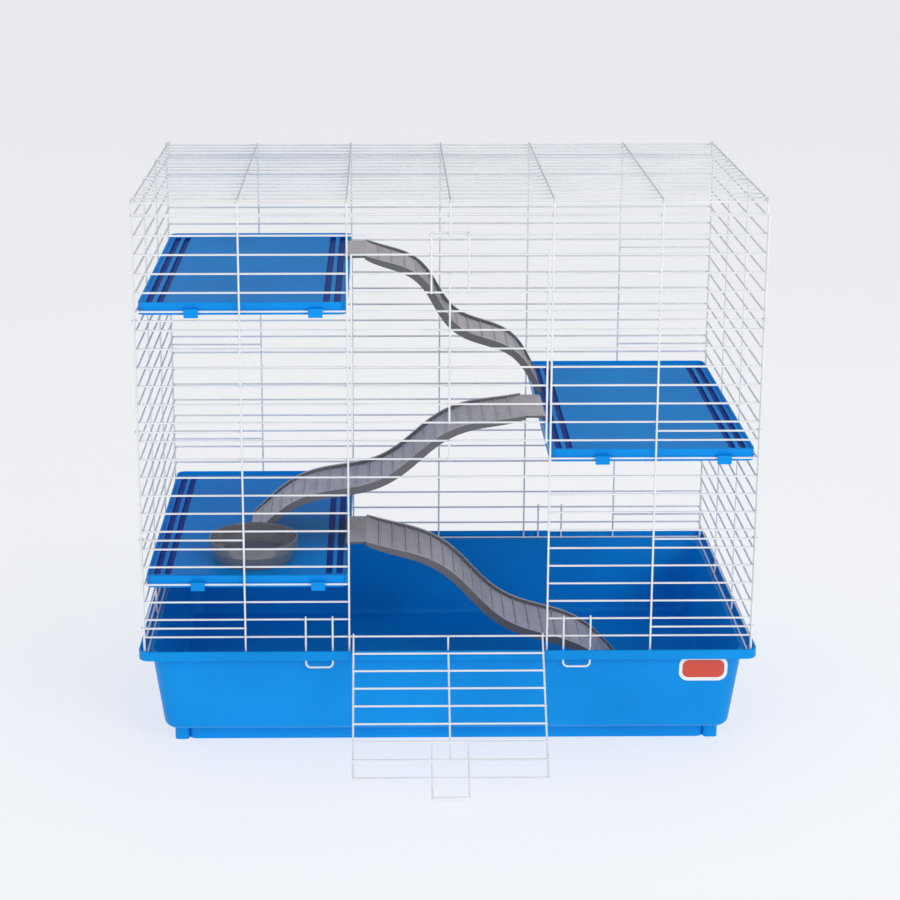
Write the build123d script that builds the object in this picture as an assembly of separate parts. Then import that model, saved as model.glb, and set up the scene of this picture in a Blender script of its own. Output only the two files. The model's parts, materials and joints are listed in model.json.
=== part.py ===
from build123d import *
import math
import os

# A three-level wire hamster cage on a moulded tub. Millimetres, +Z up, front towards -Y.
# The origin is the middle of the tub's base, on the surface that the cage stands on.

# --- Driving dimensions -------------------------------------------------------------------
# Wire cage
cage_width = 747.0  # between the centres of the corner wires, left to right
cage_depth = 442.0  # between the centres of the front and back upright wires
wire_diameter = 2.4
row_pitch = 22.8  # between neighbouring level wires
top_row = 24  # the panels' level wires are rows 0 to 24
column_count = 6  # bays between the upright wires of the front and back
side_column_count = 3
roof_bay_count = 17  # bays between the roof's cross wires
roof_rise = 19.3  # from the top row to the roof
weld_gap = 0.02  # crossing wires touch without overlapping
running_gap = 0.3  # wire loops and hooks round another wire

# Moulded tub
rim_overhang = 7.5  # the rim stands this far outside the corner wires
rim_corner_radius = 14.0
lip_thickness = 3.0
lip_above_ledge = 8.5
lip_below_ledge = 3.4
lip_edge_radius = 1.2
ledge_thickness = 3.0
ledge_top = 130.0
wall_inset = 12.5  # from the rim's outside to the top of the wall
wall_lean = 14.5  # the wall leans in by this on its way down
wall_thickness = 3.0
wall_top_corner_radius = 28.0
wall_bottom_corner_radius = 20.0
floor_underside = 23.0
floor_thickness = 3.0
floor_edge_radius = 10.0
plinth_inset_x = 26.5  # from the bottom of the wall to the plinth
plinth_inset_y = 26.5
plinth_corner_radius = 12.0
plinth_thickness = 3.0
foot_length = 18.0
foot_width = 20.0
foot_stand_out_x = 16.0  # beyond the plinth's ends
foot_stand_out_y = 2.0
foot_corner_radius = 5.0

# Doors
doorway_half_width = 121.5  # to the upright wires beside the doorways
door_side_gap = 5.0  # from those wires to the doors' own side wires
lower_hinge_row = 1
lower_door_rows = 8
lower_door_open_deg = 135.0  # how far it lies open, on the tub's rim
upper_hinge_row = 12
upper_door_rows = 10
latch_half_width = 22.0
latch_overlap_rows = 2  # the latch is welded over this many bays of the door
latch_corner_radius = 2.5

# Hooks and clips of bent wire
corner_hook_rows = (1.5, 6.5, 12.5, 18.5)
hook_tail = 3.0
clip_row = 2  # the row that the tub clips hang from
clip_half_width = 16.5
clip_centre_x = 158.5
clip_drop = 15.0  # from the ledge's top down to the clip's bend
clip_corner_radius = 6.0
clip_slot_clearance = 1.4

# Shelves
shelf_rows = {"upper": 19, "middle": 11, "lower": 4}
shelf_sides = {"upper": -1, "middle": 1, "lower": -1}
shelf_width = 248.0
shelf_end_gap = 2.0  # to the level wires in front and behind
shelf_side_gap = 0.4  # to the side panel's level wires
shelf_height = 15.0
shelf_top_over_wire = 10.5
shelf_corner_radius = 10.0
shelf_wall = 3.0
shelf_deck_recess = 3.0
shelf_deck_thickness = 5.0
shelf_edge_radius = 1.2
groove_width = 8.0
groove_depth = 3.4
groove_insets = (12.0, 25.0)  # from the shelf's sides to the grooves' middles
groove_end_gap = 14.0
shelf_hook_width = 17.0
shelf_hook_spacing = 147.0
shelf_hook_offset = 13.0
shelf_hook_thickness = 2.2
shelf_hook_drop = 7.0

# Ramps
ramp_width = 112.0
ramp_plate_thickness = 3.0
ramp_rail_thickness = 5.0
ramp_rail_rise = 4.5
ramp_rail_drop = 5.5
ramp_tongue_length = 22.0
ramp_hook_radius = 2.0
ramp_hook_end_deg = 155.0
ramp_tread_pitch = 17.6
ramp_tread_width = 2.2
ramp_tread_height = 1.3
ramp_waves = 1.8
ramp_first_flat = 0.1
ramp_wave_height = 10.5
ramp_rest_gap = 0.4
lower_ramp_y_share = -0.232  # of the shelf's half depth
ramp_reach_past_edge = 8.0  # the upper ramp's end lies this far over the middle shelf
middle_ramp_end_offset = -6.5  # from the lower shelf's middle, away from the cage's
lower_ramp_end_x = 243.0

# Food dish
dish_radius = 55.5
dish_height = 28.0
dish_wall = 2.6
dish_foot_radius = 48.5
dish_foot_height = 3.0
dish_flare = 1.8
dish_lip_height = 12.0
dish_offset = 3.5  # from the lower shelf's middle towards the middle of the cage
dish_rest_gap = 0.3

# The depth that the dish and two ramps side by side leave free on a shelf, shared out as gaps
front_gap_share = 0.2
dish_gap_share = 0.015
ramp_gap_share = 0.065

# Badge on the tub
badge_length = 60.0
badge_height = 34.0
badge_thickness = 0.5
badge_corner_radius = 12.0
badge_gap = 0.05
badge_x = 317.0
badge_z = 108.0

# --- Places worked out from them ----------------------------------------------------------
wire_radius = wire_diameter / 2
crossing = wire_diameter + weld_gap
loop_radius = wire_diameter + running_gap
half_width = cage_width / 2
half_depth = cage_depth / 2
level_y = half_depth - crossing  # level wires of the front and back, inside the uprights
side_level_x = half_width - crossing
side_end_y = level_y - loop_radius  # the side panels' end uprights
bottom_row_z = ledge_top + running_gap + wire_radius
rim_half_x = half_width + rim_overhang
rim_half_y = half_depth + rim_overhang
wall_top_x = rim_half_x - wall_inset
wall_top_y = rim_half_y - wall_inset
wall_bottom_x = wall_top_x - wall_lean
wall_bottom_y = wall_top_y - wall_lean
plinth_half_x = wall_bottom_x - plinth_inset_x
plinth_half_y = wall_bottom_y - plinth_inset_y
shelf_centre_x = side_level_x - wire_radius - shelf_side_gap - shelf_width / 2
shelf_half_y = level_y - wire_radius - shelf_end_gap
dish_x = -shelf_centre_x + dish_offset
middle_ramp_end_x = -shelf_centre_x + middle_ramp_end_offset
free_depth = 2 * (shelf_half_y - ramp_width - dish_radius)
dish_y = -shelf_half_y + front_gap_share * free_depth + dish_radius
middle_ramp_y = dish_y + dish_radius + dish_gap_share * free_depth + ramp_width / 2
ramp_y = {
    "upper": middle_ramp_y + ramp_width + ramp_gap_share * free_depth,
    "middle": middle_ramp_y,
    "lower": lower_ramp_y_share * shelf_half_y,
}


def row_z(row):
    return bottom_row_z + row * row_pitch


roof_z = row_z(top_row) + roof_rise
lip_wire_z = row_z(top_row) + loop_radius
door_half_width = doorway_half_width - door_side_gap


def column_x(column):
    """Upright wires stand at even spacing, but for the two beside the doorways."""
    x = -half_width + column * cage_width / column_count
    if abs(abs(x) - cage_width / column_count) < 1.0:
        return math.copysign(doorway_half_width, x)
    return x


# --- Wire helpers -------------------------------------------------------------------------
def straight_wire(start, end):
    direction = Vector(*end) - Vector(*start)
    plane = Plane(origin=start, z_dir=direction)
    return Solid.make_cylinder(wire_radius, direction.length, plane)


def bent_wire(path):
    section = Plane(origin=path @ 0, z_dir=path % 0) * Circle(wire_radius)
    return sweep(section, path=path).solid()


def joined(edges):
    return Wire(edges)


def level_wire(x0, x1, y, z):
    return straight_wire((x0, y, z), (x1, y, z))


def upright_wire(x, y, z0, z1):
    return straight_wire((x, y, z0), (x, y, z1))


# --- Front and back panels ----------------------------------------------------------------
def doorway_rows():
    lower = range(lower_hinge_row + 1, lower_hinge_row + lower_door_rows + 1)
    upper = range(upper_hinge_row + 1, upper_hinge_row + upper_door_rows + 1)
    return set(lower) | set(upper)


def make_front_panel():
    wires = []
    open_rows = doorway_rows()
    end_x = half_width + wire_radius
    doorway_x = doorway_half_width + wire_radius
    for row in range(top_row + 1):
        z = row_z(row)
        if row in open_rows:
            wires.append(level_wire(-end_x, -doorway_x + wire_diameter, -level_y, z))
            wires.append(level_wire(doorway_x - wire_diameter, end_x, -level_y, z))
        else:
            wires.append(level_wire(-end_x, end_x, -level_y, z))
    low = row_z(0) - wire_radius
    high = row_z(top_row) + wire_radius
    for column in range(column_count + 1):
        if column * 2 != column_count:
            wires.append(upright_wire(column_x(column), -half_depth, low, high))
    # Short middle uprights below and above each doorway.
    lower_frame_row = lower_hinge_row + lower_door_rows + 1
    upper_frame_row = upper_hinge_row + upper_door_rows + 1
    spans = (
        (0, lower_hinge_row),
        (lower_frame_row + 1, upper_hinge_row),
        (upper_frame_row, top_row),
    )
    for first, last in spans:
        start = row_z(first) - wire_radius
        wires.append(upright_wire(0, -half_depth, start, row_z(last) + wire_radius))
    return wires


def make_back_panel():
    wires = []
    end_x = half_width + wire_radius
    for row in range(top_row + 1):
        wires.append(level_wire(-end_x, end_x, level_y, row_z(row)))
    low = row_z(0) - wire_radius
    high = row_z(top_row) + wire_radius
    for column in range(column_count + 1):
        wires.append(upright_wire(column_x(column), half_depth, low, high))
    return wires


# --- Side panels: the uprights hook over the roof's outer wires ----------------------------
def make_side_panel(side):
    wires = []
    end_y = side_end_y + wire_radius
    x = side * side_level_x
    for row in range(top_row + 1):
        z = row_z(row)
        wires.append(straight_wire((x, -end_y, z), (x, end_y, z)))
    low = row_z(0) - wire_radius
    outer = side * half_width
    middle = side * (half_width - loop_radius)
    inner = side * (half_width - 2 * loop_radius)
    for column in range(side_column_count + 1):
        y = -side_end_y + column * 2 * side_end_y / side_column_count
        upright = Edge.make_line((outer, y, low), (outer, y, roof_z))
        top = (middle, y, roof_z + loop_radius)
        over = Edge.make_three_point_arc((outer, y, roof_z), top, (inner, y, roof_z))
        tail = Edge.make_line((inner, y, roof_z), (inner, y, roof_z - hook_tail))
        wires.append(bent_wire(joined([upright, over, tail])))
    return wires


# --- Roof: a flat panel whose front and back edges fold down over the panels ---------------
def make_roof_panel():
    wires = []
    edge_x = half_width - loop_radius
    fold_y = half_depth + loop_radius
    fold_radius = 4.0
    lip_end = lip_wire_z - wire_radius
    for column in range(column_count + 1):
        x = max(-edge_x, min(edge_x, column_x(column)))
        corners = [(x, -fold_y, lip_end), (x, -fold_y, roof_z)]
        corners += [(x, fold_y, roof_z), (x, fold_y, lip_end)]
        wires.append(bent_wire(FilletPolyline(*corners, radius=fold_radius)))
    end_x = edge_x + wire_radius
    cross_z = roof_z - crossing
    for bay in range(roof_bay_count + 1):
        y = -half_depth + bay * cage_depth / roof_bay_count
        wires.append(level_wire(-end_x, end_x, y, cross_z))
    for y in (-fold_y + crossing, fold_y - crossing):
        wires.append(level_wire(-end_x, end_x, y, lip_wire_z))
    return wires


# --- Corner hooks: short level wires that curl round the side panels' end uprights ---------
def make_corner_hooks(side, face):
    wires = []
    start_x = side * (half_width - cage_width / column_count - wire_radius)
    corner_x = side * half_width
    y = face * level_y
    far_y = face * (side_end_y - loop_radius)
    bend = (corner_x + side * loop_radius, face * side_end_y)
    for row in corner_hook_rows:
        z = row_z(row)
        run = Edge.make_line((start_x, y, z), (corner_x, y, z))
        curl = Edge.make_three_point_arc((corner_x, y, z), (*bend, z), (corner_x, far_y, z))
        tail = Edge.make_line((corner_x, far_y, z), (corner_x - side * hook_tail, far_y, z))
        wires.append(bent_wire(joined([run, curl, tail])))
    return wires


# --- Tub clips: U-shaped wires that hang from a row and catch under the rim ----------------
def make_base_clip(centre_x, face):
    z = row_z(clip_row)
    inner_y = face * (level_y - loop_radius)
    outer_y = face * (level_y + loop_radius)
    left = centre_x - clip_half_width
    right = centre_x + clip_half_width
    low = ledge_top - clip_drop

    def curl(x, upwards):
        tail_end = (x, inner_y, z - hook_tail)
        inside = (x, inner_y, z)
        top = (x, face * level_y, z + loop_radius)
        outside = (x, outer_y, z)
        if upwards:
            tail = Edge.make_line(tail_end, inside)
            return [tail, Edge.make_three_point_arc(inside, top, outside)]
        tail = Edge.make_line(inside, tail_end)
        return [Edge.make_three_point_arc(outside, top, inside), tail]

    corners = [(left, outer_y, z), (left, outer_y, low)]
    corners += [(right, outer_y, low), (right, outer_y, z)]
    legs = FilletPolyline(*corners, radius=clip_corner_radius)
    return bent_wire(joined(curl(left, True) + list(legs.edges()) + curl(right, False)))


# --- Doors ---------------------------------------------------------------------------------
def hinge_axis(hinge_row):
    return Axis((0, -level_y, row_z(hinge_row)), (1, 0, 0))


def make_door(hinge_row, rows):
    """A closed door: side wires that curl round the hinge row, level wires, a middle wire."""
    wires = []
    hinge_z = row_z(hinge_row)
    front_y = -level_y - loop_radius
    back_y = -level_y + loop_radius
    top = row_z(hinge_row + rows) + wire_radius
    for x in (-door_half_width, door_half_width):
        upright = Edge.make_line((x, front_y, top), (x, front_y, hinge_z))
        under = (x, -level_y, hinge_z - loop_radius)
        curl = Edge.make_three_point_arc((x, front_y, hinge_z), under, (x, back_y, hinge_z))
        wires.append(bent_wire(joined([upright, curl])))
    end_x = door_half_width + wire_radius
    for row in range(hinge_row + 1, hinge_row + rows + 1):
        wires.append(level_wire(-end_x, end_x, front_y + crossing, row_z(row)))
    first = row_z(hinge_row + 1) - wire_radius
    last = row_z(hinge_row + rows - 1) + wire_radius
    wires.append(upright_wire(0, front_y, first, last))
    return wires


def make_latch(hinge_row, rows):
    """The spring catch: a U of wire whose bend lies over the frame wire above the door."""
    front_y = -level_y - loop_radius
    frame_z = row_z(hinge_row + rows + 1)
    low = row_z(hinge_row + rows - latch_overlap_rows) - wire_radius
    over_z = frame_z + loop_radius
    share = math.sqrt(0.5)
    sides = []
    for side in (-1, 1):
        x = side * latch_half_width
        foot = (x, front_y, low)
        knee = (x, front_y, frame_z)
        mid = (x, -level_y - share * loop_radius, frame_z + share * loop_radius)
        top = (x, -level_y, over_z)
        corner_x = x - side * latch_corner_radius
        corner_mid = (
            corner_x + side * share * latch_corner_radius,
            -level_y + share * latch_corner_radius,
            over_z,
        )
        corner_end = (corner_x, -level_y + latch_corner_radius, over_z)
        leg = Edge.make_line(foot, knee)
        over = Edge.make_three_point_arc(knee, mid, top)
        corner = Edge.make_three_point_arc(top, corner_mid, corner_end)
        sides.append(([leg, over, corner], corner_end))
    (left, left_end), (right, right_end) = sides
    bar = Edge.make_line(left_end, right_end)
    path = joined(left + [bar] + right)
    return [bent_wire(path)]


def swung_open(solids, hinge_row, angle):
    return [solid.rotate(hinge_axis(hinge_row), angle) for solid in solids]


# --- Moulded tub ---------------------------------------------------------------------------
def rounded_block(half_x, half_y, radius, z0, z1):
    outline = Plane.XY.offset(z0) * RectangleRounded(2 * half_x, 2 * half_y, radius)
    return extrude(outline, z1 - z0)


def leaning_block(bottom, top, z0, z1):
    """A block between two rounded rectangles, each (half x, half y, corner radius)."""
    sections = []
    for (half_x, half_y, radius), z in ((bottom, z0), (top, z1)):
        outline = RectangleRounded(2 * half_x, 2 * half_y, radius)
        sections.append(Plane.XY.offset(z) * outline)
    return loft(sections)


def make_tub_wall():
    bottom = (wall_bottom_x, wall_bottom_y, wall_bottom_corner_radius)
    top = (wall_top_x, wall_top_y, wall_top_corner_radius)
    outer = leaning_block(bottom, top, floor_underside, ledge_top)
    outer = fillet(outer.edges().group_by(Axis.Z)[0], floor_edge_radius)
    inner_bottom = tuple(size - wall_thickness for size in bottom)
    inner_top = tuple(size - wall_thickness for size in top)
    floor_top = floor_underside + floor_thickness
    inner = leaning_block(inner_bottom, inner_top, floor_top, ledge_top)
    inner_edge = floor_edge_radius - wall_thickness
    inner = fillet(inner.edges().group_by(Axis.Z)[0], inner_edge)
    return outer, inner


def make_tub_rim():
    lip_bottom = ledge_top - lip_below_ledge
    lip_top = ledge_top + lip_above_ledge
    lip = rounded_block(rim_half_x, rim_half_y, rim_corner_radius, lip_bottom, lip_top)
    inner_x = rim_half_x - lip_thickness
    inner_y = rim_half_y - lip_thickness
    inner_radius = rim_corner_radius - lip_thickness
    lip -= rounded_block(inner_x, inner_y, inner_radius, lip_bottom, lip_top)
    lip = fillet(lip.edges().group_by(Axis.Z)[-1], lip_edge_radius)
    ledge_bottom = ledge_top - ledge_thickness
    reach = lip_thickness / 2
    ledge = rounded_block(
        inner_x + reach, inner_y + reach, inner_radius + reach, ledge_bottom, ledge_top
    )
    slot_length = 2 * clip_half_width + wire_diameter + 2 * clip_slot_clearance
    slot_width = wire_diameter + 2 * clip_slot_clearance
    for x in (-clip_centre_x, clip_centre_x):
        for y in (-level_y - loop_radius, level_y + loop_radius):
            slot = Box(slot_length, slot_width, 3 * ledge_thickness)
            ledge -= Pos(x, y, ledge_top - ledge_thickness / 2) * slot
    return lip, ledge


def make_plinth():
    top = floor_underside + floor_thickness / 2
    plinth = rounded_block(plinth_half_x, plinth_half_y, plinth_corner_radius, 0, top)
    inner_x = plinth_half_x - plinth_thickness
    inner_y = plinth_half_y - plinth_thickness
    inner_radius = plinth_corner_radius - plinth_thickness
    feet = []
    for side in (-1, 1):
        for face in (-1, 1):
            x = side * (plinth_half_x + foot_stand_out_x - foot_length / 2)
            y = face * (plinth_half_y + foot_stand_out_y - foot_width / 2)
            foot = rounded_block(foot_length / 2, foot_width / 2, foot_corner_radius, 0, top)
            feet.append(Pos(x, y, 0) * foot)
    hollow = rounded_block(inner_x, inner_y, inner_radius, 0, floor_underside)
    return plinth + feet - hollow


def make_base_tub():
    wall, inside = make_tub_wall()
    lip, ledge = make_tub_rim()
    tub = (wall + ledge - inside) + lip + make_plinth()
    return [tub.solid()]


# --- Badge: a plain sticker on the tub's front ---------------------------------------------
def make_badge():
    run = ledge_top - floor_underside
    lean = math.degrees(math.atan2(wall_lean, run))
    wall_y = -(wall_top_y - wall_lean * (ledge_top - badge_z) / run)
    outline = RectangleRounded(badge_length, badge_height, badge_corner_radius)
    plate = Pos(0, 0, badge_gap) * extrude(outline, badge_thickness)
    face_down_the_wall = Rot(90 + lean, 0, 0)
    return [(Pos(badge_x, wall_y, badge_z) * face_down_the_wall * plate).solid()]


# --- Shelves -------------------------------------------------------------------------------
def shelf_top_z(level):
    return row_z(shelf_rows[level]) + shelf_top_over_wire


def make_shelf_hook(x, face, wire_z):
    """Hooks over a level wire from inside and hangs down in front of it."""
    inside = shelf_half_y - shelf_wall / 2
    under = wire_z + wire_radius + running_gap
    over = under + shelf_hook_thickness
    leg_inside = level_y + wire_radius + running_gap
    leg_outside = leg_inside + shelf_hook_thickness
    low = wire_z - shelf_hook_drop
    corners = [(inside, under), (leg_inside, under), (leg_inside, low)]
    corners += [(leg_outside, low), (leg_outside, over), (inside, over)]
    outline = [(x - shelf_hook_width / 2, face * y, z) for y, z in corners]
    hook_face = Face(Wire.make_polygon(outline, close=True))
    return Solid.extrude(hook_face, Vector(shelf_hook_width, 0, 0))


def make_shelf(level):
    top = shelf_top_z(level)
    bottom = top - shelf_height
    deck = top - shelf_deck_recess
    half = shelf_width / 2
    shelf = rounded_block(half, shelf_half_y, shelf_corner_radius, bottom, top)
    shelf = fillet(shelf.edges().group_by(Axis.Z)[-1], shelf_edge_radius)
    inner = (half - shelf_wall, shelf_half_y - shelf_wall, shelf_corner_radius - shelf_wall)
    recess = rounded_block(*inner, deck, top)
    pocket = rounded_block(*inner, bottom, deck - shelf_deck_thickness)
    shelf = shelf - recess - pocket
    rim_edges = shelf.edges().group_by(Axis.Z)[-1]
    shelf = fillet(rim_edges, shelf_edge_radius)
    groove_half_y = shelf_half_y - groove_end_gap
    size = (groove_width / 2, groove_half_y, groove_width / 2.1)
    groove = rounded_block(*size, deck - groove_depth, deck + 1)
    for inset in groove_insets:
        for side in (-1, 1):
            shelf -= Pos(side * (half - inset), 0, 0) * groove
    shelf = Pos(shelf_sides[level] * shelf_centre_x, 0, 0) * shelf
    wire_z = row_z(shelf_rows[level])
    middle = shelf_sides[level] * shelf_centre_x + shelf_hook_offset
    for x in (middle - shelf_hook_spacing / 2, middle + shelf_hook_spacing / 2):
        for face in (-1, 1):
            shelf += make_shelf_hook(x, face, wire_z)
    return [shelf.solid()]


# --- Ramps ---------------------------------------------------------------------------------
def shelf_edge_x(level):
    """The shelf's edge that faces the middle of the cage."""
    side = shelf_sides[level]
    return side * (shelf_centre_x - shelf_width / 2)


def ramp_pivot(level):
    x = shelf_edge_x(level) + shelf_sides[level] * shelf_wall / 2
    return x, shelf_top_z(level) - shelf_wall / 2


def ramp_wave(u):
    turn = 2 * math.pi * ramp_waves
    phase = -turn * ramp_first_flat
    return math.sin(turn * u + phase) - math.sin(phase) * (1 - u) - math.sin(turn + phase) * u


class RampLine:
    """The line of a ramp's walking surface, from the tongue (u = 0) to its foot (u = 1)."""

    def __init__(self, start, end):
        self.start = Vector(*start)
        self.run = Vector(*end) - self.start
        self.up = Vector(-self.run.Y, self.run.X).normalized()

    def point(self, u, offset=0.0):
        centre = self.start + self.run * u + self.up * (ramp_wave(u) * ramp_wave_height)
        if offset == 0.0:
            return centre
        step = 0.001
        ahead = self.start + self.run * (u + step)
        ahead += self.up * (ramp_wave(u + step) * ramp_wave_height)
        along = (ahead - centre).normalized()
        return centre + Vector(-along.Y, along.X) * offset


def curve(line, first, last, offset, count):
    shares = [first + (last - first) * i / count for i in range(count + 1)]
    return [line.point(u, offset(u) if callable(offset) else offset) for u in shares]


def ramp_profile(line):
    """The plate's outline from the hook to the foot, with a raised tread at every pitch."""
    hook_top = ramp_hook_radius + ramp_plate_thickness
    end = math.radians(ramp_hook_end_deg)
    mid = (end + math.pi / 2) / 2

    def on_hook(radius, angle):
        return Vector(radius * math.cos(angle), radius * math.sin(angle))

    edges = [
        Edge.make_three_point_arc(
            on_hook(hook_top, end), on_hook(hook_top, mid), Vector(0, hook_top)
        ),
        Edge.make_line(Vector(0, hook_top), line.point(0)),
    ]
    length = line.run.length
    tread_count = int(length / ramp_tread_pitch)
    tread_share = ramp_tread_width / length
    here = 0.0
    for tread in range(1, tread_count + 1):
        foot = tread / (tread_count + 1) - tread_share / 2
        edges.append(Edge.make_spline(curve(line, here, foot, 0.0, 3)))
        crest = line.point(foot + tread_share / 2, ramp_tread_height)
        here = foot + tread_share
        edges.append(Edge.make_three_point_arc(line.point(foot), crest, line.point(here)))
    edges.append(Edge.make_spline(curve(line, here, 1, 0.0, 3)))
    under = curve(line, 1, 0, -ramp_plate_thickness, 24)
    inner_top = Vector(0, ramp_hook_radius)
    edges.append(Edge.make_line(line.point(1), under[0]))
    edges.append(Edge.make_spline(under))
    edges.append(Edge.make_line(under[-1], inner_top))
    edges.append(
        Edge.make_three_point_arc(
            inner_top, on_hook(ramp_hook_radius, mid), on_hook(ramp_hook_radius, end)
        )
    )
    edges.append(Edge.make_line(on_hook(ramp_hook_radius, end), on_hook(hook_top, end)))
    return Face(Wire(edges))


def rail_profile(line):
    def rise(u):
        return ramp_rail_rise * math.sin(math.pi * min(max(u, 0.001), 0.999)) ** 0.3

    def drop(u):
        deepening = math.sin(math.pi * min(max(u, 0.001), 0.999)) ** 0.3
        extra = ramp_rail_drop - ramp_plate_thickness
        return -ramp_plate_thickness - extra * deepening

    over = curve(line, 0.0, 1.0, rise, 40)
    under = curve(line, 1.0, 0.0, drop, 40)
    edges = [Edge.make_spline(over), Edge.make_line(over[-1], under[0])]
    edges += [Edge.make_spline(under), Edge.make_line(under[-1], over[0])]
    return Face(Wire(edges))


def between(profile, half_thickness):
    """The profile drawn out to the same distance on both sides of its plane."""
    return Pos(0, 0, -half_thickness) * Solid.extrude(profile, Vector(0, 0, 2 * half_thickness))


def make_ramp(level, end_x, floor_z):
    """A moulded ramp that hooks over a shelf's rim and rests on what lies below."""
    pivot_x, pivot_z = ramp_pivot(level)
    facing = -shelf_sides[level]
    foot_rise = ramp_rest_gap + ramp_plate_thickness
    start = (ramp_tongue_length, ramp_hook_radius + ramp_plate_thickness)
    end = (facing * (end_x - pivot_x), floor_z + foot_rise - pivot_z)
    line = RampLine(start, end)
    ramp = between(ramp_profile(line), ramp_width / 2 - ramp_rail_thickness)
    rails = rail_profile(line)
    for z in (-ramp_width / 2, ramp_width / 2 - ramp_rail_thickness):
        ramp += Pos(0, 0, z) * Solid.extrude(rails, Vector(0, 0, ramp_rail_thickness))
    sideways = (0, -facing, 0)
    place = Plane((pivot_x, ramp_y[level], pivot_z), x_dir=(facing, 0, 0), z_dir=sideways)
    return [(place * ramp).solid()]


def make_ramps():
    deck = {level: shelf_top_z(level) - shelf_deck_recess for level in shelf_rows}
    tub_floor = floor_underside + floor_thickness
    upper_end_x = shelf_edge_x("middle") + ramp_reach_past_edge
    return {
        "upper_ramp": make_ramp("upper", upper_end_x, shelf_top_z("middle")),
        "middle_ramp": make_ramp("middle", middle_ramp_end_x, deck["lower"]),
        "lower_ramp": make_ramp("lower", lower_ramp_end_x, tub_floor),
    }


# --- Food dish -----------------------------------------------------------------------------
def make_food_dish():
    """A turned bowl: foot ring, leaning wall, and a thicker band at the rim."""
    top = dish_height
    neck = top - dish_lip_height
    outer = dish_radius
    inner = dish_radius - dish_wall
    lean = (outer - dish_flare - dish_foot_radius) / neck
    floor = dish_foot_height + dish_wall
    outline = [
        (0, dish_foot_height),
        (dish_foot_radius - 2 * dish_wall, dish_foot_height),
        (dish_foot_radius - 2 * dish_wall, 0),
        (dish_foot_radius, 0),
        (outer - dish_flare, neck),
        (outer, neck),
        (outer, top),
        (inner, top),
        (inner - dish_flare, neck),
        (dish_foot_radius + lean * floor - 2 * dish_wall, floor),
        (0, floor),
    ]
    section = Face(Wire.make_polygon([(r, 0, z) for r, z in outline], close=True))
    bowl = revolve(section, Axis.Z, 360)
    bowl = fillet(bowl.edges().group_by(Axis.Z)[-1], dish_wall * 0.45)
    deck = shelf_top_z("lower") - shelf_deck_recess
    return [(Pos(dish_x, dish_y, deck + dish_rest_gap) * bowl).solid()]


# --- The whole cage ------------------------------------------------------------------------
def make_parts():
    parts = {
        "base_tub": make_base_tub(),
        "badge": make_badge(),
        "front_panel": make_front_panel(),
        "back_panel": make_back_panel(),
        "left_side_panel": make_side_panel(-1),
        "right_side_panel": make_side_panel(1),
        "roof_panel": make_roof_panel(),
        "food_dish": make_food_dish(),
    }
    for face_name, face in (("front", -1), ("back", 1)):
        for side_name, side in (("left", -1), ("right", 1)):
            place = f"{face_name}_{side_name}"
            parts[f"{place}_corner_hooks"] = make_corner_hooks(side, face)
            parts[f"{place}_base_clip"] = [make_base_clip(side * clip_centre_x, face)]
    for level in shelf_rows:
        parts[f"{level}_shelf"] = make_shelf(level)
    parts.update(make_ramps())
    parts["upper_door"] = make_door(upper_hinge_row, upper_door_rows)
    parts["upper_door_latch"] = make_latch(upper_hinge_row, upper_door_rows)
    lower_door = make_door(lower_hinge_row, lower_door_rows)
    lower_latch = make_latch(lower_hinge_row, lower_door_rows)
    parts["lower_door"] = swung_open(lower_door, lower_hinge_row, lower_door_open_deg)
    parts["lower_door_latch"] = swung_open(lower_latch, lower_hinge_row, lower_door_open_deg)
    return parts


os.makedirs("parts", exist_ok=True)
for name, solids in make_parts().items():
    export_step(Compound(label=name, children=solids), f"parts/{name}.step")
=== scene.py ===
"""A wire hamster cage on a moulded tub: finishes, spot welds, sticker, studio and camera.

Metres, +Z up, the doors face -Y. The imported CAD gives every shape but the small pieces
that are added here.
"""

import json
import math

import bmesh
import bpy
from mathutils import Matrix, Vector


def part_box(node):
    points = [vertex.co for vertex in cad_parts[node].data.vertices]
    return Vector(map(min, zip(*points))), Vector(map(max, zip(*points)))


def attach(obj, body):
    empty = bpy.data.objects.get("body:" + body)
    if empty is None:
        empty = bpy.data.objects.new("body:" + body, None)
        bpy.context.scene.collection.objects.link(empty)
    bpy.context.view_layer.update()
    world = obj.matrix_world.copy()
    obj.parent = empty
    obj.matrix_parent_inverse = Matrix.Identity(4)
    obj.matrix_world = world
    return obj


MM = 0.001

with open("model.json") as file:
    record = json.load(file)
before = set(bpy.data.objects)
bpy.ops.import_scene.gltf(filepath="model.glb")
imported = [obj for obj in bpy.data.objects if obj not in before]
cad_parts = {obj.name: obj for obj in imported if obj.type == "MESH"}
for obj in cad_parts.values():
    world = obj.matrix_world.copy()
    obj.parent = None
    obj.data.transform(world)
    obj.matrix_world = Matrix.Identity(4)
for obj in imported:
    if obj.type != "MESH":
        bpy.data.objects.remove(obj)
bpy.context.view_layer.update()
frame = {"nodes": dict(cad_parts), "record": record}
nodes = frame["nodes"]


# --- Colour and node helpers --------------------------------------------------------------
def srgb(code):
    """The linear colour for a hex code such as "#0584E6"."""
    levels = [int(code[i : i + 2], 16) / 255 for i in (1, 3, 5)]
    linear = [v / 12.92 if v <= 0.04045 else ((v + 0.055) / 1.055) ** 2.4 for v in levels]
    return (*linear, 1.0)


def add(tree, kind, inputs=None, **settings):
    """Adds a node. inputs gives sockets, by name or number, a value or another's output."""
    node = tree.nodes.new(kind)
    for name, value in settings.items():
        setattr(node, name, value)
    for socket, value in (inputs or {}).items():
        if isinstance(value, bpy.types.NodeSocket):
            tree.links.new(value, node.inputs[socket])
        else:
            node.inputs[socket].default_value = value
    return node


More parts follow.
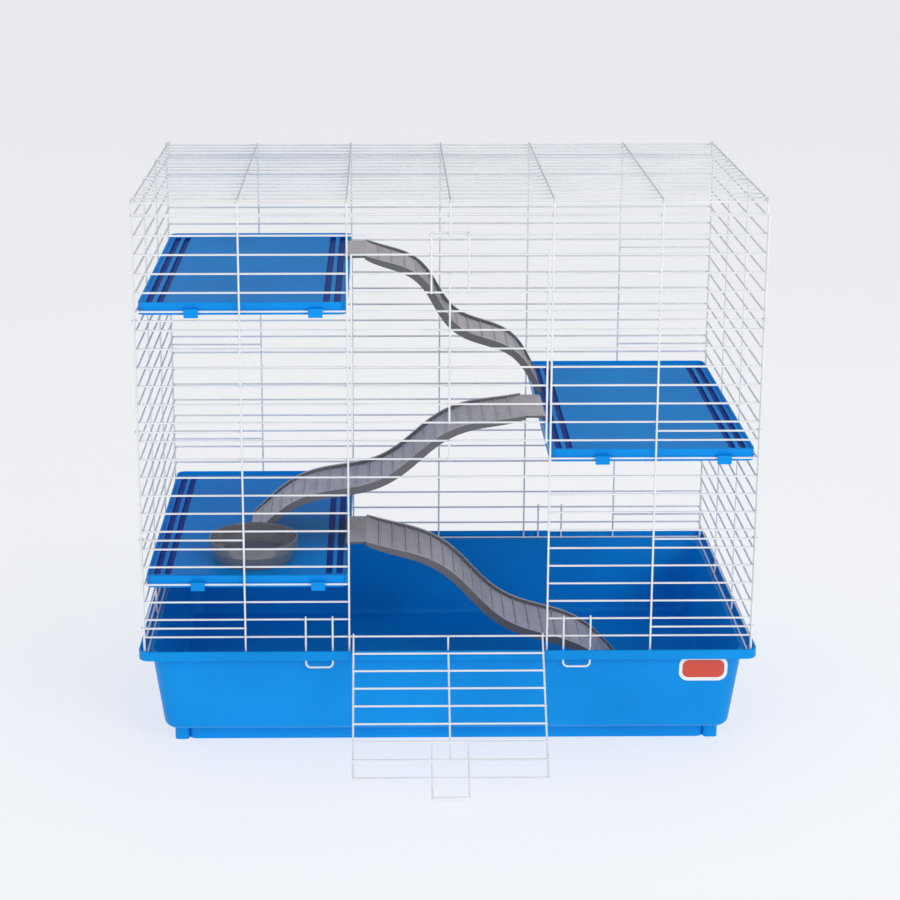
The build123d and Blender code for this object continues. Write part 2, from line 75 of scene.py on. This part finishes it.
def start_material(name):
    """An empty material with a shader, and the coordinates of the object in metres."""
    material = bpy.data.materials.new(name)
    material.use_nodes = True
    tree = material.node_tree
    tree.nodes.clear()
    shader = add(tree, "ShaderNodeBsdfPrincipled")
    add(tree, "ShaderNodeOutputMaterial", {"Surface": shader.outputs["BSDF"]})
    place = add(tree, "ShaderNodeTexCoord").outputs["Object"]
    return material, tree, shader, place


def noise(tree, place, size, detail=2.0, roughness=0.5):
    """Noise whose blotches are about this many millimetres across."""
    inputs = {"Vector": place, "Scale": 1 / (size * MM), "Detail": detail, "Roughness": roughness}
    return add(tree, "ShaderNodeTexNoise", inputs).outputs["Fac"]


def span(tree, value, low, high, to_low, to_high):
    """Carries the range from low to high over to another range, held at both ends."""
    inputs = {0: value, 1: low, 2: high, 3: to_low, 4: to_high}
    return add(tree, "ShaderNodeMapRange", inputs).outputs[0]


def blend(tree, share, first, second):
    inputs = {0: share, 6: first, 7: second}
    return add(tree, "ShaderNodeMix", inputs, data_type="RGBA").outputs[2]


def relief(tree, height, depth, strength=1.0, under=None):
    """A bump of this many millimetres, on top of another bump."""
    inputs = {"Height": height, "Distance": depth * MM, "Strength": strength}
    if under is not None:
        inputs["Normal"] = under
    return add(tree, "ShaderNodeBump", inputs).outputs["Normal"]


# --- Finishes -----------------------------------------------------------------------------
def powder_coated_steel():
    """White polyester powder on drawn wire: smooth and even, with a soft orange peel."""
    material, tree, shader, place = start_material("powder_coated_steel")
    drift = span(tree, noise(tree, place, 60), 0.35, 0.65, 0, 1)
    white = blend(tree, drift, srgb("#F0F1F2"), srgb("#E4E6E8"))
    peel = noise(tree, place, 0.9, detail=1)
    shader.inputs["Metallic"].default_value = 0.0
    shader.inputs["IOR"].default_value = 1.5
    shader.inputs["Coat Weight"].default_value = 0.3
    shader.inputs["Coat Roughness"].default_value = 0.12
    tree.links.new(white, shader.inputs["Base Color"])
    tree.links.new(span(tree, peel, 0.3, 0.7, 0.30, 0.42), shader.inputs["Roughness"])
    tree.links.new(relief(tree, peel, 0.04, 0.5), shader.inputs["Normal"])
    return material


DECK_RECESS = 3 * MM  # from a shelf's rim down to its deck
# Bounds of the painted shade that darkens the grooves in the shelves' decks.
GROOVE_SIDE_MARGIN = 5 * MM  # from the shelf's box to where the grooves' colour ends
GROOVE_END_MARGIN = 14 * MM
GROOVE_FADE = 1 * MM
GROOVE_TOP = (1.2 * MM, 0.2 * MM)  # below the deck: full colour, and no colour
GROOVE_BOTTOM = (4.6 * MM, 4.2 * MM)  # below the deck: no colour, and full colour


def painted_groove_shade(tree, place, shelf):
    """1 in the grooves of a shelf's deck, which are painted darker as painted shade, and 0
    elsewhere.
    """
    low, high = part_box(shelf)
    middle = (low[0] + high[0]) / 2
    at = add(tree, "ShaderNodeSeparateXYZ", {0: place})
    off_x = add(tree, "ShaderNodeMath", {0: at.outputs["X"], 1: middle}, operation="SUBTRACT")
    from_x = add(tree, "ShaderNodeMath", {0: off_x.outputs[0]}, operation="ABSOLUTE").outputs[0]
    from_y = add(tree, "ShaderNodeMath", {0: at.outputs["Y"]}, operation="ABSOLUTE").outputs[0]
    edge_x = (high[0] - low[0]) / 2 - GROOVE_SIDE_MARGIN
    edge_y = (high[1] - low[1]) / 2 - GROOVE_END_MARGIN
    deck = high[2] - DECK_RECESS
    shares = (
        span(tree, at.outputs["Z"], deck - GROOVE_TOP[0], deck - GROOVE_TOP[1], 1, 0),
        span(tree, at.outputs["Z"], deck - GROOVE_BOTTOM[0], deck - GROOVE_BOTTOM[1], 0, 1),
        span(tree, from_x, edge_x - GROOVE_FADE, edge_x, 1, 0),
        span(tree, from_y, edge_y - GROOVE_FADE, edge_y, 1, 0),
    )
    share = shares[0]
    for other in shares[1:]:
        both = {0: share, 1: other}
        share = add(tree, "ShaderNodeMath", both, operation="MULTIPLY").outputs[0]
    return share


def moulded_polypropylene(name, light, deep, gloss_low, gloss_high, shelf=None):
    """Injection-moulded polypropylene: a strong even colour, faint flow clouds, a fine
    eroded grain from the mould, and light rub marks where things slide over it."""
    material, tree, shader, place = start_material(name)
    clouds = span(tree, noise(tree, place, 170, detail=3), 0.3, 0.7, 0, 1)
    colour = blend(tree, clouds, srgb(light), srgb(deep))
    # Long thin rubs, drawn wider than real ones so that they show.
    turned = add(tree, "ShaderNodeMapping", {"Vector": place, "Rotation": (0.3, 0.2, 0.5)})
    turned.inputs["Scale"].default_value = (0.12, 1.0, 1.0)
    rubs = noise(tree, turned.outputs[0], 2.5, detail=4, roughness=0.7)
    rub_share = span(tree, rubs, 0.66, 0.74, 0, 1)
    worn_and_groove_shaded = blend(tree, span(tree, rub_share, 0, 1, 0, 0.10), colour, srgb("#7FB6E8"))
    # Painted shade: with a shelf given, the grooves of its deck are painted a deeper navy where
    # shade would fall.
    if shelf:
        worn_and_groove_shaded = blend(tree, painted_groove_shade(tree, place, shelf), worn_and_groove_shaded, srgb("#0848A8"))
    # The mould's grain is about 0.3 mm, drawn at three times that.
    grain = noise(tree, place, 0.9, detail=2)
    sheen = span(tree, grain, 0.35, 0.65, gloss_low, gloss_high)
    rub_dulls = {0: rub_share, 1: 0.15, 2: sheen}
    dulled = add(tree, "ShaderNodeMath", rub_dulls, operation="MULTIPLY_ADD")
    shader.inputs["IOR"].default_value = 1.49
    shader.inputs["Specular IOR Level"].default_value = 0.14
    tree.links.new(worn_and_groove_shaded, shader.inputs["Base Color"])
    tree.links.new(dulled.outputs[0], shader.inputs["Roughness"])
    swell = noise(tree, place, 45, detail=1)
    wavy = relief(tree, swell, 0.25, 0.6)
    tree.links.new(relief(tree, grain, 0.03, 0.6, wavy), shader.inputs["Normal"])
    return material


def moulded_grey_plastic():
    """Grey polypropylene with a leather-like mould grain: faces that look up are painted paler.
    """
    material, tree, shader, place = start_material("moulded_grey_plastic")
    normal = add(tree, "ShaderNodeNewGeometry").outputs["Normal"]
    upward = add(tree, "ShaderNodeSeparateXYZ", {0: normal}).outputs["Z"]
    patches = noise(tree, place, 14, detail=4, roughness=0.6)
    # Painted light: faces that look up get a paler grey, broken into noisy patches, as if lit
    # from above.
    painted_top_light = span(tree, upward, 0.35, 0.85, 0, 1)
    patchy = span(tree, patches, 0.3, 0.7, 0.75, 1.0)
    share = add(tree, "ShaderNodeMath", {0: painted_top_light, 1: patchy}, operation="MULTIPLY").outputs[0]
    colour = blend(tree, share, srgb("#68686C"), srgb("#D2CDD0"))
    grain = noise(tree, place, 1.4, detail=5, roughness=0.65)
    shader.inputs["IOR"].default_value = 1.49
    shader.inputs["Specular IOR Level"].default_value = 0.45
    tree.links.new(colour, shader.inputs["Base Color"])
    tree.links.new(span(tree, grain, 0.3, 0.7, 0.34, 0.5), shader.inputs["Roughness"])
    tree.links.new(relief(tree, grain, 0.08, 0.5), shader.inputs["Normal"])
    return material


def polished_dark_plastic():
    """Dark grey polypropylene from a polished mould: clear soft reflections, fine dust."""
    material, tree, shader, place = start_material("polished_dark_plastic")
    dust = noise(tree, place, 3.0, detail=6, roughness=0.7)
    colour = blend(tree, span(tree, dust, 0.3, 0.8, 0, 1), srgb("#6A6B6F"), srgb("#75767A"))
    shader.inputs["IOR"].default_value = 1.49
    tree.links.new(colour, shader.inputs["Base Color"])
    shader.inputs["Coat Weight"].default_value = 0.8
    shader.inputs["Coat Roughness"].default_value = 0.06
    tree.links.new(span(tree, dust, 0.3, 0.7, 0.16, 0.24), shader.inputs["Roughness"])
    return material


def printed_vinyl(name, ink):
    """Gloss vinyl sticker stock with a flat printed ink and a faint print mottle."""
    material, tree, shader, place = start_material(name)
    mottle = noise(tree, place, 1.2, detail=3)
    darker = tuple(0.86 * level for level in srgb(ink)[:3]) + (1.0,)
    tree.links.new(blend(tree, mottle, srgb(ink), darker), shader.inputs["Base Color"])
    shader.inputs["Roughness"].default_value = 0.25
    shader.inputs["IOR"].default_value = 1.52
    shader.inputs["Coat Weight"].default_value = 0.4
    shader.inputs["Coat Roughness"].default_value = 0.08
    return material


finishes = {
    "wire": powder_coated_steel(),
    "tub": moulded_polypropylene("tub_polypropylene", "#0096E8", "#0088D8", 0.34, 0.46),
    "ramp": moulded_grey_plastic(),
    "dish": polished_dark_plastic(),
    "badge": printed_vinyl("vinyl_border", "#F4F5F6"),
}
shelf_blues = ("#0095EC", "#0089DE")
for part in frame["record"]["subparts"]:
    name, slot = part["node"], part["material_slot"]
    if slot == "shelf":
        # Each shelf's own material paints shade into the grooves of its deck.
        finish = moulded_polypropylene(f"{name}_polypropylene", *shelf_blues, 0.36, 0.48, name)
    else:
        finish = finishes[slot]
    nodes[name].data.materials.clear()
    nodes[name].data.materials.append(finish)


# --- Spot welds ---------------------------------------------------------------------------
def wires_of(node):
    """The lowest and highest corner of each separate wire in a CAD node."""
    mesh = bmesh.new()
    mesh.from_mesh(nodes[node].data)
    bmesh.ops.remove_doubles(mesh, verts=mesh.verts, dist=0.001 * MM)
    seen = set()
    boxes = []
    for first in mesh.verts:
        if first.index in seen:
            continue
        seen.add(first.index)
        low, high = first.co.copy(), first.co.copy()
        waiting = [first]
        while waiting:
            here = waiting.pop()
            low = Vector(map(min, low, here.co))
            high = Vector(map(max, high, here.co))
            for edge in here.link_edges:
                there = edge.other_vert(here)
                if there.index not in seen:
                    seen.add(there.index)
                    waiting.append(there)
        boxes.append((low, high))
    mesh.free()
    return boxes


def runs_along(boxes, axis):
    """The wires whose longest way is along this axis: 0 for X, 1 for Y, 2 for Z."""
    chosen = []
    for low, high in boxes:
        size = high - low
        if size[axis] == max(size):
            chosen.append((low, high))
    return chosen


def spots(level, upright, along, across, normal, outer=0):
    """Where level wires, which run along one axis, meet uprights, which run across it.

    An upright that is bent at its end lies at its box's outer side, given by its sign.
    """
    found = []
    for low, high in level:
        radius = (high[normal] - low[normal]) / 2
        middle = (low + high) / 2
        for other_low, other_high in upright:
            if outer:
                side = other_high[normal] if outer > 0 else other_low[normal]
                face = side - outer * radius
            else:
                face = (other_low[normal] + other_high[normal]) / 2
            at = (other_low[along] + other_high[along]) / 2
            if not low[along] - radius < at < high[along] + radius:
                continue
            if not other_low[across] - radius < middle[across] < other_high[across] + radius:
                continue
            spot = middle.copy()
            spot[along] = at
            spot[normal] = (middle[normal] + face) / 2
            found.append(spot)
    return found


LIP_DROP = 1 * MM  # the roof's two lip wires lie at least this far below its cross wires
OPEN_DEPTH = 20 * MM  # a door deeper than this from front to back stands open
LATCH_ROWS = 3  # a door's last rows, which its latch is welded to
WELD_RADIUS = 1.55 * MM
WELD_SQUASH = 0.8  # a nugget is wider than it is thick


def make_welds(name, places, thin_axes, body):
    """One mesh of small flattened nuggets, each where two crossing wires are fused."""
    mesh = bmesh.new()
    for spot, axis in zip(places, thin_axes):
        scale = [1.0, 1.0, 1.0]
        scale[axis] = WELD_SQUASH
        matrix = Matrix.Translation(spot) @ Matrix.Diagonal((*scale, 1.0))
        bmesh.ops.create_icosphere(mesh, subdivisions=2, radius=WELD_RADIUS, matrix=matrix)
    data = bpy.data.meshes.new(name)
    mesh.to_mesh(data)
    mesh.free()
    data.shade_smooth()
    welds = bpy.data.objects.new(name, data)
    bpy.context.collection.objects.link(welds)
    data.materials.append(finishes["wire"])
    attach(welds, body)


X, Y, Z = 0, 1, 2


def panel_welds():
    """The cage's fixed welds: (places, thin axis of each)."""
    places, axes = [], []

    def keep(found, axis):
        places.extend(found)
        axes.extend([axis] * len(found))

    for face in ("front", "back"):
        wires = wires_of(f"{face}_panel")
        uprights = runs_along(wires, Z)
        keep(spots(runs_along(wires, X), uprights, X, Z, Y), Y)
        level_y = runs_along(wires, X)[0]
        for side in ("left", "right"):
            hooks = []
            for low, high in wires_of(f"{face}_{side}_corner_hooks"):
                low.y, high.y = level_y[0].y, level_y[1].y
                hooks.append((low, high))
            keep(spots(hooks, uprights, X, Z, Y), Y)
    for side, outer in (("left", -1), ("right", 1)):
        wires = wires_of(f"{side}_side_panel")
        keep(spots(runs_along(wires, Y), runs_along(wires, Z), Y, Z, X, outer), X)
    wires = wires_of("roof_panel")
    lengthwise = runs_along(wires, Y)
    cross = runs_along(wires, X)
    height = max(high.z for low, high in cross)
    roof = [box for box in cross if box[1].z > height - LIP_DROP]
    lips = [box for box in cross if box[1].z <= height - LIP_DROP]
    keep(spots(roof, lengthwise, X, Y, Z, outer=1), Z)
    keep(spots([b for b in lips if b[0].y < 0], lengthwise, X, Z, Y, outer=-1), Y)
    keep(spots([b for b in lips if b[0].y > 0], lengthwise, X, Z, Y, outer=1), Y)
    return places, axes


def door_welds(door, latch):
    """A door's welds, worked out across its own plane, whichever way it stands."""
    rows = []
    uprights = []
    for low, high in wires_of(door):
        size = high - low
        (rows if size.x == max(size) else uprights).append((low, high))
    rows.sort(key=lambda box: -box[1].z if door_is_open(door) else box[1].z)
    centres = [(low + high) / 2 for low, high in rows]
    up = (centres[-1] - centres[0]).normalized()
    outward = Vector((0, -up.z, up.y))
    radius = (rows[0][1].z - rows[0][0].z) / 2
    columns = sorted((low.x + high.x) / 2 for low, high in uprights)
    found = []
    for number, centre in enumerate(centres):
        last = number == len(centres) - 1
        for x in columns:
            if last and abs(x) < radius:
                continue
            found.append(Vector((x, centre.y, centre.z)) + outward * radius)
    low, high = wires_of(latch)[0]
    for x in (low.x + radius, high.x - radius):
        for centre in centres[-LATCH_ROWS:]:
            found.append(Vector((x, centre.y, centre.z)) + outward * radius)
    return found


def door_is_open(door):
    low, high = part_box(door)
    return high.y - low.y > OPEN_DEPTH


places, axes = panel_welds()
make_welds("panel_welds", places, axes, "cage")
for door in ("upper_door", "lower_door"):
    spots_on_door = door_welds(door, f"{door}_latch")
    make_welds(f"{door}_welds", spots_on_door, [X] * len(spots_on_door), door)


# --- Sticker ------------------------------------------------------------------------------
def make_badge_field():
    """The printed field inside the sticker's pale border: a thin crowned plate."""
    mesh = nodes["badge"].data
    front = min(mesh.polygons, key=lambda face: face.normal.y * face.area)
    outward = front.normal.normalized()
    corners = [v.co for v in mesh.vertices]
    depth = max(v.dot(outward) for v in corners)
    face = [v for v in corners if v.dot(outward) > depth - 0.01 * MM]
    low = Vector([min(v[i] for v in face) for i in range(3)])
    high = Vector([max(v[i] for v in face) for i in range(3)])
    centre = (low + high) / 2
    across = Vector((1, 0, 0))
    up = outward.cross(across) * -1
    half_x = (high.x - low.x) / 2
    half_z = abs((high - low).dot(up)) / 2
    border = 4 * MM
    thickness = 0.15 * MM
    corner = 8.5 * MM
    steps = 10
    field = bmesh.new()
    rims = []
    for inset, height in ((0, 0), (0.12 * MM, thickness * 0.8), (0.6 * MM, thickness)):
        rim = []
        size_x, size_z = half_x - border - inset, half_z - border - inset
        for quarter in range(4):
            sign_x = 1 if quarter in (0, 3) else -1
            sign_z = 1 if quarter in (0, 1) else -1
            for step in range(steps + 1):
                angle = math.pi / 2 * (quarter + step / steps)
                x = sign_x * (size_x - corner) + corner * math.cos(angle)
                z = sign_z * (size_z - corner) + corner * math.sin(angle)
                rim.append(field.verts.new(centre + across * x + up * z + outward * height))
        rims.append(rim)
    for lower, upper in zip(rims, rims[1:]):
        for i in range(len(lower)):
            j = (i + 1) % len(lower)
            field.faces.new((lower[i], lower[j], upper[j], upper[i]))
    field.faces.new(rims[-1])
    field.faces.new(reversed(rims[0]))
    bmesh.ops.recalc_face_normals(field, faces=field.faces)
    data = bpy.data.meshes.new("badge_field")
    field.to_mesh(data)
    field.free()
    piece = bpy.data.objects.new("badge_field", data)
    bpy.context.collection.objects.link(piece)
    data.materials.append(printed_vinyl("vinyl_ink", "#D8402A"))
    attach(piece, "cage")


make_badge_field()


# --- Studio -------------------------------------------------------------------------------
def studio_paper():
    """Pale seamless paper with a faint mottle."""
    material, tree, shader, place = start_material("studio_paper")
    mottle = noise(tree, place, 900, detail=2)
    colour = blend(tree, mottle, srgb("#A3A6AA"), srgb("#9DA1A6"))
    tree.links.new(colour, shader.inputs["Base Color"])
    shader.inputs["Roughness"].default_value = 0.75
    shader.inputs["Specular IOR Level"].default_value = 0.1
    # The sweep is lit from behind as well, so it stays nearly white all over.
    shader.inputs["Emission Color"].default_value = srgb("#F8F9FB")
    shader.inputs["Emission Strength"].default_value = 0.69
    return material


def make_floor():
    half = 30.0
    data = bpy.data.meshes.new("studio_floor")
    corners = [(-half, -half, 0), (half, -half, 0), (half, half, 0), (-half, half, 0)]
    data.from_pydata(corners, [], [(0, 1, 2, 3)])
    floor = bpy.data.objects.new("studio_floor", data)
    bpy.context.collection.objects.link(floor)
    data.materials.append(studio_paper())


def softbox(name, at, aim, size, power, tint):
    light = bpy.data.lights.new(name, "AREA")
    light.shape = "RECTANGLE"
    light.size, light.size_y = size
    light.energy = power
    light.color = srgb(tint)[:3]
    lamp = bpy.data.objects.new(name, light)
    lamp.location = at
    lamp.rotation_euler = (Vector(aim) - Vector(at)).to_track_quat("-Z", "Y").to_euler()
    bpy.context.collection.objects.link(lamp)


def light_studio():
    world = bpy.data.worlds.new("studio")
    bpy.context.scene.world = world
    world.use_nodes = True
    tree = world.node_tree
    tree.nodes.clear()
    way = add(tree, "ShaderNodeTexCoord").outputs["Generated"]
    height = add(tree, "ShaderNodeSeparateXYZ", {0: way}).outputs["Z"]
    fading = span(tree, height, 0.0, 0.9, 0.86, 0.34)
    # Reflections see a dimmer room, so that the plastics keep their depth of colour.
    path = add(tree, "ShaderNodeLightPath").outputs["Is Glossy Ray"]
    seen = span(tree, path, 0, 1, 1.0, 0.35)
    power = add(tree, "ShaderNodeMath", {0: fading, 1: seen}, operation="MULTIPLY").outputs[0]
    glow = add(tree, "ShaderNodeBackground", {"Color": srgb("#F8F9FC"), "Strength": power})
    add(tree, "ShaderNodeOutputWorld", {"Surface": glow.outputs[0]})
    middle = (0, 0, 0.3)
    softbox("key", (2.2, -3.0, 1.7), middle, (1.8, 1.6), 46, "#FFFDF8")
    softbox("fill", (-2.6, -2.6, 1.4), middle, (1.4, 1.4), 20, "#F2F6FF")
    softbox("overhead", (0.3, 0.4, 2.8), (0, 0, 0), (2.2, 1.6), 9, "#FFFFFF")


def place_camera():
    camera = bpy.data.cameras.new("camera")
    camera.sensor_width = 36.0
    camera.lens = 86.17
    camera.shift_x = 0.05
    camera.shift_y = -0.08
    camera.clip_end = 200.0
    stand = bpy.data.objects.new("camera", camera)
    stand.location = (-0.0811, -2.7003, 1.1395)
    tilt = math.radians(90.0 - 14.814)
    turn = math.radians(-0.647)
    stand.rotation_euler = (tilt, 0.0, turn)
    bpy.context.collection.objects.link(stand)
    bpy.context.scene.camera = stand


make_floor()
light_studio()
place_camera()
bpy.context.scene.view_settings.view_transform = "Standard"
